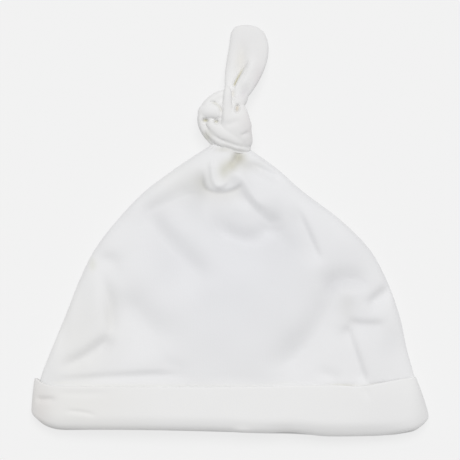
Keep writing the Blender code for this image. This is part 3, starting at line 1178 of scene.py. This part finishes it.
KNOT_STRANDS = (
    Strand(
        "cloth between the wraps",
        ((-9.0, 45.8, 12.0, 1.6, 2.0), (-7.0, 42.9, 13.4, 1.9, 2.0), (-3.7, 40.8, 14.0, 1.9, 2.0),
         (0.5, 38.7, 14.3, 1.7, 2.0), (4.7, 36.9, 13.1, 1.5, 1.8)),
    ),
    Strand(
        "cloth below the lower wrap",
        ((-9.4, 42.2, 10.4, 1.5, 2.2), (-6.6, 39.3, 11.7, 1.6, 2.2), (-2.8, 37.5, 12.2, 1.6, 2.2),
         (1.6, 36.3, 11.6, 1.5, 2.2), (5.4, 35.9, 9.9, 1.5, 2.0)),
    ),
    Strand(
        "cloth behind the lobe",
        ((-8.0, 54.4, 10.6, 2.2, 2.6), (-5.0, 55.2, 11.6, 2.4, 2.4), (-2.2, 55.4, 12.2, 2.2, 2.2)),
    ),
    Strand(
        "body",
        ((-10.2, 51.2, 7.6, 2.8, 5.0), (-6.5, 49.2, 7.8, 6.0, 6.4), (-2.0, 46.4, 8.2, 8.0, 7.2),
         (2.8, 43.0, 8.2, 7.2, 7.4), (5.8, 39.0, 7.4, 3.8, 5.6)),
    ),
    Strand(
        "outer loop",
        ((-0.6, 60.0, 10.6, 1.8, 1.8), (-4.8, 58.0, 11.4, 2.6, 2.4), (-8.6, 55.4, 11.8, 2.6, 2.8),
         (-11.0, 52.4, 10.8, 2.5, 3.4), (-12.1, 49.2, 10.0, 2.3, 4.0), (-12.1, 46.2, 9.2, 2.1, 4.0),
         (-10.7, 43.2, 8.6, 2.1, 4.0), (-8.4, 40.5, 8.0, 2.2, 3.8), (-5.0, 38.9, 7.2, 2.4, 3.4)),
        pleats=5, pleat_depth=0.03,
    ),
    Strand(
        "lobe",
        ((-13.0, 50.2, 9.6, 1.6, 2.4), (-11.4, 51.4, 11.8, 3.0, 2.6), (-8.5, 52.0, 13.2, 3.4, 2.6),
         (-5.4, 51.6, 13.8, 3.3, 2.5), (-2.6, 50.4, 13.6, 2.8, 2.4)),
    ),
    Strand(
        "upper wrap",
        ((-9.6, 49.0, 11.4, 1.4, 1.8), (-8.8, 46.8, 12.8, 1.9, 2.0), (-6.6, 44.6, 14.0, 2.5, 2.1),
         (-3.6, 42.5, 14.8, 2.9, 2.2), (-0.2, 40.8, 15.1, 2.7, 2.2), (3.4, 38.7, 14.4, 2.1, 2.0),
         (6.8, 36.6, 12.2, 1.5, 1.7)),
    ),
    Strand(
        "lower wrap",
        ((-11.2, 46.8, 9.2, 1.4, 2.0), (-9.8, 43.4, 11.2, 1.6, 2.2), (-7.2, 40.6, 12.6, 1.7, 2.2),
         (-4.0, 38.3, 13.3, 1.8, 2.3), (-0.4, 36.7, 13.5, 1.9, 2.4), (3.2, 35.5, 13.0, 1.9, 2.4),
         (6.4, 35.2, 11.4, 1.8, 2.2), (7.9, 36.8, 9.2, 1.7, 2.3)),
    ),
    Strand(
        "under wrap",
        ((-10.2, 42.4, 7.6, 1.8, 2.6), (-8.0, 39.5, 9.4, 1.9, 2.6), (-5.0, 37.0, 10.2, 1.9, 2.6),
         (-1.4, 35.7, 10.4, 1.9, 2.6), (2.4, 34.9, 9.8, 1.8, 2.6), (5.8, 35.2, 7.8, 1.9, 2.6),
         (6.6, 38.6, 5.2, 2.2, 2.6), (3.0, 42.4, 4.2, 2.8, 2.6)),
    ),
    Strand(
        "front mass",
        ((1.8, 55.6, 11.0, 2.6, 2.2), (2.0, 52.6, 13.0, 4.8, 2.8), (2.2, 49.2, 14.4, 5.9, 3.1),
         (2.4, 45.8, 14.6, 6.6, 3.2), (3.7, 42.2, 14.0, 6.2, 3.2), (6.0, 38.8, 12.3, 4.0, 3.0),
         (7.4, 36.0, 9.6, 2.2, 2.4)),
    ),
    Strand(
        "centre strand",
        ((-1.2, 63.0, 11.2, 1.6, 1.7), (-1.2, 59.2, 13.0, 1.8, 1.9), (-1.3, 55.4, 14.4, 2.0, 2.0),
         (-1.2, 51.8, 15.2, 2.4, 2.0), (-0.6, 48.0, 15.4, 3.0, 2.2), (0.4, 44.6, 15.0, 3.4, 2.2)),
    ),
    Strand(
        "root of the tail",
        ((5.0, 61.4, 9.2, 2.0, 1.8), (4.6, 58.4, 10.4, 3.2, 2.6), (3.4, 55.6, 12.2, 3.2, 3.0),
         (1.4, 52.6, 12.2, 3.0, 2.8)),
    ),
)

# The colour factors of these creases are painted shade in the gaps, on the edge above the lobe and
# in the hole.
KNOT_FOLDS = (
    # name, rise, left and right half width, path
    Crease(
        "gap under the left of the lobe", -2.2, 0.7, 1.0,
        ((-12.4, 48), (-10.8, 47.8), (-9.2, 47.5)), tone=(0.8, 0.78, 0.62),
    ),
    Crease(
        "gap under the right of the lobe", -1.9, 0.6, 1.0,
        ((-7.4, 47.6), (-6.2, 47.2), (-4.9, 47)), tone=(0.8, 0.79, 0.69),
    ),
    Crease(
        "edge above the lobe", -1.0, 0.6, 0.9,
        ((-9.6, 55.6), (-6.8, 55.3), (-4.6, 53.5), (-3.8, 51.4), (-4.2, 49.2)),
        tone=(0.9, 0.893, 0.85),
    ),
    Crease(
        "line below the wraps", -1.0, 0.8, 1.2,
        ((-5, 37.2), (-1, 35.6), (3, 34.4), (7.2, 34)), fades=(0.3, 0.1),
    ),
    Crease(
        "hole beside the root of the tail", -2.2, 1.1, 0.9,
        ((3, 54.4), (2.9, 52.6), (2.3, 50.6)), fades=(0.1, 0.4), tone=(0.8, 0.745, 0.65),
    ),
    Crease("dent in the front mass", -0.45, 1.4, 1.4, ((-3, 45.2), (1, 46.4), (4.6, 48))),
    Crease("small crease on the right", -0.5, 0.7, 1.2, ((4.2, 41.2), (6.2, 41.6), (8, 43))),
)
KNOT_RELIEF = Relief(KNOT_FOLDS)

# Soft spots on the knot: painted shade where the wraps turn under and on its right side, painted
# light on the lobe; 'whole knot' and 'centre strand' darken them a little.
KNOT_SHADING_AND_TONE = (
    ShadingAndToneSpot("whole knot", 0, 46, 30, 30, (0.975, 0.971, 0.968)),
    # painted shade where the lower wrap turns under
    ShadingAndToneSpot("olive lower left", -10.4, 40.6, 2, 2.6, (0.93, 0.925, 0.87)),
    ShadingAndToneSpot("centre strand", -1, 56, 1.6, 4, (0.965, 0.965, 0.968)),
    # painted light on the lobe
    ShadingAndToneSpot("lobe", -8.7, 52, 3, 2.4, (1.04, 1.04, 1.045)),
    ShadingAndToneSpot("shaded root", 5.6, 60.0, 3.4, 3.2, (0.935, 0.92, 0.935)),
    ShadingAndToneSpot("right side of the knot", 8, 46, 3.4, 8, (0.95, 0.935, 0.94)),
)


@dataclass
class Knot:
    """One overhand knot, drawn tight."""

    finish: JerseyFinish
    voxel: float = 0.32
    softness: float = 0.5
    smoothing: int = 11
    upper_pace: float = 1.6

    def press_lines(self, obj: Piece) -> None:
        """Presses the fine lines of the knot into its upper side.

        Args:
            obj: The knot's cloth.
        """
        places = places_of(obj)
        normals = np.empty(places.size)
        obj.data.vertex_normals.foreach_get("vector", normals)
        upper = eased(normals.reshape(-1, 3)[:, 2] * self.upper_pace)
        lift = KNOT_RELIEF.height(places[:, 0] / MM, places[:, 1] / MM)
        places[:, 2] += lift * upper * MM
        obj.data.vertices.foreach_set("co", places.reshape(-1))
        obj.data.update()

    def build(self) -> None:
        """Joins the strands into one skin, and dresses it."""
        points = []
        faces = []
        first = 0
        for strand in KNOT_STRANDS:
            rings = strand.rings()
            rows, columns = rings.shape[:2]
            points.append(rings.reshape(-1, 3))
            faces += [[i + first for i in f] for f in tube_faces(rows, columns)]
            first += rows * columns
        obj = mesh_object("knot_cloth", np.concatenate(points), faces)
        joined = obj.modifiers.new("joined", "REMESH")
        joined.mode = "VOXEL"
        joined.voxel_size = self.voxel * MM
        joined.use_smooth_shade = True
        soft = obj.modifiers.new("soft", "SMOOTH")
        soft.factor = self.softness
        soft.iterations = self.smoothing
        settle(obj)
        self.press_lines(obj)
        # stores painted shade and light on the knot
        paint(obj, KNOT_SHADING_AND_TONE, KNOT_RELIEF)
        dress(obj, self.finish.material(), "knot_jersey", "knot")


TAIL_ROWS = np.array([
    # y, left, right, middle height, half thickness
    (51.0, -0.5, 3.5, 10.6, 1.4),
    (54.0, -2.0, 5.0, 11.2, 2.4),
    (57.0, -2.5, 6.8, 11.2, 3.0),
    (60.0, -2.5, 9.2, 10.8, 3.4),
    (63.0, -2.5, 11.2, 9.8, 3.6),
    (66.0, -2.5, 12.9, 8.8, 3.8),
    (69.5, -2.3, 14.5, 7.6, 3.8),
    (73.0, -1.8, 15.7, 6.4, 3.7),
    (77.0, -1.2, 16.5, 5.2, 3.4),
    (81.0, -0.5, 16.6, 4.2, 3.1),
    (84.5, -0.1, 15.7, 3.5, 2.8),
    (87.0, 0.5, 14.4, 3.0, 2.4),
    (88.8, 1.8, 12.2, 2.7, 1.9),
    (89.7, 3.8, 9.6, 2.5, 1.2),
    (90.0, 6.2, 7.4, 2.4, 0.3),
])

# The colour factors of these creases are painted shade in the grooves, in the slit and at the base
# of the right lobe.
TAIL_FOLDS = (
    # name, rise, left and right half width, path
    Crease(
        "groove at the root", -0.9, 0.9, 1.8,
        ((0.6, 53), (0.6, 57), (0.9, 60.5), (1.4, 63)), tone=(0.93, 0.91, 0.875),
    ),
    Crease(
        "slit", -2.0, 2.6, 0.5,
        ((1.2, 61.5), (2.7, 65), (4.8, 68.8), (6.5, 72), (8, 75.6)), fades=(0.12, 0.5),
    ),
    Crease(
        "line of the slit", -0.9, 0.7, 0.4,
        ((1.2, 61.8), (2.6, 65), (4.6, 68.8), (6.2, 72), (7.4, 75)),
        fades=(0.1, 0.6), tone=(0.66, 0.63, 0.46),
    ),
    Crease("hollow left of the slit", -1.0, 2.2, 2.4, ((2, 67), (3.6, 72), (5, 77), (6.4, 83))),
    Crease("right lobe", 1.0, 1.4, 2.6, ((4.2, 61), (6.6, 66), (8.6, 70.5), (9.8, 76))),
    Crease(
        "dark base of the right lobe", -0.9, 2.6, 2.6,
        ((3.4, 57.4), (6, 59.6), (8.6, 62.4)), tone=(0.93, 0.91, 0.93),
    ),
)
TAIL_RELIEF = Relief(TAIL_FOLDS, wave_height=0.08, wave_length=9.0, seed=8)

# Soft spots on the tail: painted shade in the hollow by the slit and on its turned right edge,
# painted light on the right lobe; 'whole tail' darkens all of it a little.
TAIL_SHADING_AND_TONE = (
    # painted shade in the hollow left of the slit
    ShadingAndToneSpot("tan hollow", 4.4, 74, 2.2, 5.5, (0.985, 0.975, 0.945)),
    ShadingAndToneSpot("turned right edge", 12, 66, 2.6, 7, (0.955, 0.935, 0.94)),
    ShadingAndToneSpot("whole tail", 8, 82, 14, 18, (0.935, 0.93, 0.932)),
    ShadingAndToneSpot("bright right lobe", 9.8, 71, 2, 5, (1.03, 1.035, 1.035)),
)


@dataclass
class Tail:
    """The flattened free end of the cloth tube, above the knot."""

    finish: JerseyFinish
    rows: int = 190
    sides: int = 250
    roundness: float = 0.85
    even_share: float = 0.35
    upper_pace: float = 2.5
    full_half: float = 2.0
    lowest: float = 0.2

    def build(self) -> None:
        """Builds and dresses the tail."""
        first, last = TAIL_ROWS[0, 0], TAIL_ROWS[-1, 0]
        step = np.linspace(0, 1, self.rows)
        crowded = np.sin(step * np.pi / 2)
        y = first + (last - first) * (
            self.even_share * step + (1 - self.even_share) * crowded
        )
        angle = np.arange(self.sides) * 2 * np.pi / self.sides
        y, angle = np.meshgrid(y, angle, indexing="ij")
        left, right, middle, half = (rows_at(TAIL_ROWS, y)[..., i] for i in range(1, 5))
        x = (left + right) / 2 + (right - left) / 2 * np.cos(angle)
        over = np.sin(angle)
        lens = np.sign(over) * np.abs(over) ** self.roundness
        z = middle + half * lens
        upper = eased(over * self.upper_pace) * np.clip(half / self.full_half, 0, 1)
        z = np.maximum(z + TAIL_RELIEF.height(x, y) * upper, self.lowest)
        points = np.stack([x, y, z], axis=-1).reshape(-1, 3)
        faces = [f[::-1] for f in tube_faces(self.rows, self.sides)]
        obj = mesh_object("tail_cloth", points, faces)
        # stores painted shade and light on the tail
        paint(obj, TAIL_SHADING_AND_TONE, TAIL_RELIEF)
        dress(obj, self.finish.material(), "knot_jersey", "tail")


# The stitches inside


class StitchTree:
    """Geometry Nodes that set a small loop of thread at even steps along a path."""

    INPUTS = ("Pitch", "Width", "Height", "Thread", "Slant", "Seed")
    LOOP_POINTS = 14
    THREAD_POINTS = 5
    LEAST_SLANT = 0.8
    MOST_SLANT = 1.2
    # the random node's sockets for plain numbers, by their place
    LEAST_INPUT = 2
    MOST_INPUT = 3
    NUMBER_OUTPUT = 1

    def __init__(self, material: Material) -> None:
        """Builds the tree.

        Args:
            material: What the thread is made of.
        """
        self.tree = bpy.data.node_groups.new("seam_stitches", "GeometryNodeTree")
        self.sheet = NodeSheet(self.tree)
        face = self.tree.interface
        face.new_socket("Path", in_out="INPUT", socket_type="NodeSocketGeometry")
        self.keys = {}
        for name in self.INPUTS:
            kind = "NodeSocketInt" if name == "Seed" else "NodeSocketFloat"
            socket = face.new_socket(name, in_out="INPUT", socket_type=kind)
            self.keys[name] = socket.identifier
        face.new_socket("Stitches", in_out="OUTPUT", socket_type="NodeSocketGeometry")
        self.join(material)

    def join(self, material: Material) -> None:
        """Adds the nodes: places along the path, a loop at each, and the material.

        Args:
            material: What the thread is made of.
        """
        add = self.sheet.add
        given = add("NodeGroupInput").outputs
        path = add("GeometryNodeMeshToCurve", {"Mesh": given["Path"]})
        spaced = {"Curve": path, "Length": given["Pitch"]}
        places = add("GeometryNodeCurveToPoints", spaced, mode="LENGTH")
        loops = add(
            "GeometryNodeInstanceOnPoints",
            {
                "Points": places,
                "Instance": self.loop(given),
                "Rotation": self.lean(given, places),
            },
        )
        real = add("GeometryNodeRealizeInstances", {"Geometry": loops})
        dressed = {"Geometry": real, "Material": material}
        add("NodeGroupOutput", {"Stitches": add("GeometryNodeSetMaterial", dressed)})

    def loop(self, given: Outputs) -> Node:
        """One flat loop of thread that wraps the cloth's edge.

        Args:
            given: The tree's inputs.

        Returns:
            The node with the loop's mesh.
        """
        add = self.sheet.add
        round_loop = {"Resolution": self.LOOP_POINTS, "Radius": 0.5}
        ring = add("GeometryNodeCurvePrimitiveCircle", round_loop, mode="RADIUS")
        sides = {"X": given["Width"], "Y": given["Height"], "Z": 1.0}
        scale = add("ShaderNodeCombineXYZ", sides)
        flat = add("GeometryNodeTransform", {"Geometry": ring, "Scale": scale})
        round_thread = {"Resolution": self.THREAD_POINTS, "Radius": given["Thread"]}
        section = add("GeometryNodeCurvePrimitiveCircle", round_thread, mode="RADIUS")
        return add("GeometryNodeCurveToMesh", {"Curve": flat, "Profile Curve": section})

    def lean(self, given: Outputs, places: Node) -> Node:
        """The loops' rotation: across the path, with a slant that varies a little.

        Args:
            given: The tree's inputs.
            places: The node with the places along the path.

        Returns:
            The node with the rotation.
        """
        add = self.sheet.add
        limits = {
            self.LEAST_INPUT: self.LEAST_SLANT,
            self.MOST_INPUT: self.MOST_SLANT,
            "Seed": given["Seed"],
        }
        spread = add("FunctionNodeRandomValue", limits, data_type="FLOAT")
        angle = self.sheet.sum("MULTIPLY", given["Slant"], spread.outputs[self.NUMBER_OUTPUT])
        turn = add("ShaderNodeCombineXYZ", {"Y": angle})
        leaning = add("FunctionNodeEulerToRotation", {"Euler": turn})
        both = {"Rotation": places.outputs["Rotation"], "Rotate By": leaning}
        return add("FunctionNodeRotateRotation", both, rotation_space="LOCAL")

    def run_along(self, name: str, path: Array, values: dict[str, float]) -> Piece:
        """Sets stitches along a path.

        Args:
            name: Name of the row of stitches.
            path: Places along it in millimetres, one row each.
            values: The value of each named input, in metres or radians.

        Returns:
            The stitches as a plain mesh.
        """
        edges = [(i, i + 1) for i in range(len(path) - 1)]
        obj = mesh_object(name, path, [], edges)
        stitches = obj.modifiers.new("stitches", "NODES")
        stitches.node_group = self.tree
        for key, value in values.items():
            stitches[self.keys[key]] = value
        return settle(obj)


@dataclass
class SeamStitches:
    """Overlock stitches over the cut edges inside: two side seams and the cuff's seam."""

    form: CrownForm
    finish: ThreadFinish
    pitch: float = 1.9
    width: float = 2.6
    thread: float = 0.13
    slant: float = math.radians(24)
    seed: int = 5
    inset: float = 3.3
    allowance: float = 2.6
    cuff_seam_y: float = -69.7
    cuff_depth: float = 1.3
    cuff_height: float = 1.0
    cuff_start: float = 0.02
    cuff_places: int = 240
    side_first_y: float = -66.0
    side_last_y: float = 20.0
    side_places: int = 60

    def side_path(self, right: bool) -> Array:
        """The path of one side seam's stitches.

        Args:
            right: Whether it is the right seam.

        Returns:
            Places along the seam's cut edges, in millimetres.
        """
        y = np.linspace(self.side_first_y, self.side_last_y, self.side_places)
        rows = rows_at(STATIONS, y)
        x = rows[:, 2] - self.inset if right else rows[:, 1] + self.inset
        return np.stack([x, y, rows[:, 4]], axis=-1)

    def cuff_path(self) -> Array:
        """The path of the stitches round the cuff's seam, inside the crown.

        Returns:
            Places along it in millimetres.
        """
        turn = np.linspace(self.cuff_start, 2 - self.cuff_start, self.cuff_places)
        y = np.full_like(turn, self.cuff_seam_y)
        x, z = self.form.section(y, turn)
        nx, nz = self.form.outward(y, turn)
        x = x - nx * self.cuff_depth
        z = z - nz * self.cuff_depth
        return np.stack([x, y, z], axis=-1)

    def build(self) -> None:
        """Builds and dresses the three rows of stitches."""
        material = self.finish.material()
        tree = StitchTree(material)
        left, right = self.side_path(right=False), self.side_path(right=True)
        rows = (
            ("side_stitches_left", left, self.allowance, "crown_jersey"),
            ("side_stitches_right", right, self.allowance, "crown_jersey"),
            ("cuff_stitches", self.cuff_path(), self.cuff_height, "cuff_jersey"),
        )
        for name, path, height, slot in rows:
            values = {
                "Pitch": self.pitch * MM,
                "Width": self.width * MM,
                "Height": height * MM,
                "Thread": self.thread * MM,
                "Slant": self.slant,
                "Seed": self.seed,
            }
            dress(tree.run_along(name, path, values), material, slot, None)


# The studio


@dataclass
class Studio:
    """A pale floor, an even dome of light, a soft key light and the camera above."""

    floor: FloorFinish
    floor_width: float = 6.0
    floor_drop: float = 0.2
    dome_strength: float = 0.44
    key_strength: float = 1.89
    key_size: float = math.radians(32)
    key_tilt: float = math.radians(20)
    key_heading: float = math.radians(84)
    lens: float = 200.0
    sensor: float = 36.0
    frame_width: float = 200.1
    focus_height: float = 10.0
    far_limit: float = 20.0
    middle: Pair = (-0.2, 0.2)

    def build(self) -> None:
        """Builds the floor, the lights and the camera."""
        self.build_floor()
        self.build_lights()
        self.build_camera()

    def build_floor(self) -> None:
        """A wide flat floor just under the hat."""
        half = self.floor_width / 2 / MM
        z = -self.floor_drop
        corners = [(-half, -half, z), (half, -half, z), (half, half, z), (-half, half, z)]
        obj = mesh_object("floor", np.array(corners), [[0, 1, 2, 3]])
        obj.data.materials.append(self.floor.material())

    def build_lights(self) -> None:
        """White light from all round, and a broad soft light from beyond the knot."""
        world = bpy.data.worlds.new("studio")
        world.use_nodes = True
        background = {"Color": WHITE, "Strength": self.dome_strength}
        NodeSheet(world.node_tree).feed(world.node_tree.nodes["Background"], background)
        bpy.context.scene.world = world
        key = bpy.data.lights.new("key", "SUN")
        key.energy = self.key_strength
        key.angle = self.key_size
        obj = bpy.data.objects.new("key", key)
        obj.rotation_euler = (-self.key_tilt, 0.0, self.key_heading - math.pi / 2)
        bpy.context.scene.collection.objects.link(obj)

    def build_camera(self) -> None:
        """A long lens straight above the hat, with the knot at the top of the frame."""
        camera = bpy.data.cameras.new("camera")
        camera.lens = self.lens
        camera.sensor_width = self.sensor
        camera.clip_end = self.far_limit
        away = self.frame_width * self.lens / self.sensor + self.focus_height
        obj = bpy.data.objects.new("camera", camera)
        obj.location = (self.middle[0] * MM, self.middle[1] * MM, away * MM)
        bpy.context.scene.collection.objects.link(obj)
        bpy.context.scene.camera = obj
        bpy.context.scene.view_settings.view_transform = "Standard"


def main() -> None:
    """Builds every piece of the hat and the studio round it."""
    logging.basicConfig(level=logging.INFO, format="%(message)s")
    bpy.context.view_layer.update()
    form = CrownForm()
    cool = JerseyFinish("crown_jersey", light=(0.803, 0.803, 0.809), dark=(0.788, 0.788, 0.794))
    warm = JerseyFinish("cuff_jersey", light=(0.817, 0.816, 0.815), dark=(0.805, 0.803, 0.801))
    Crown(form, cool).build()
    Cuff(form, warm).build()
    Knot(JerseyFinish("knot_jersey")).build()
    Tail(JerseyFinish("tail_jersey")).build()
    SeamStitches(form, ThreadFinish()).build()
    Studio(FloorFinish()).build()


if __name__ == "__main__":
    main()
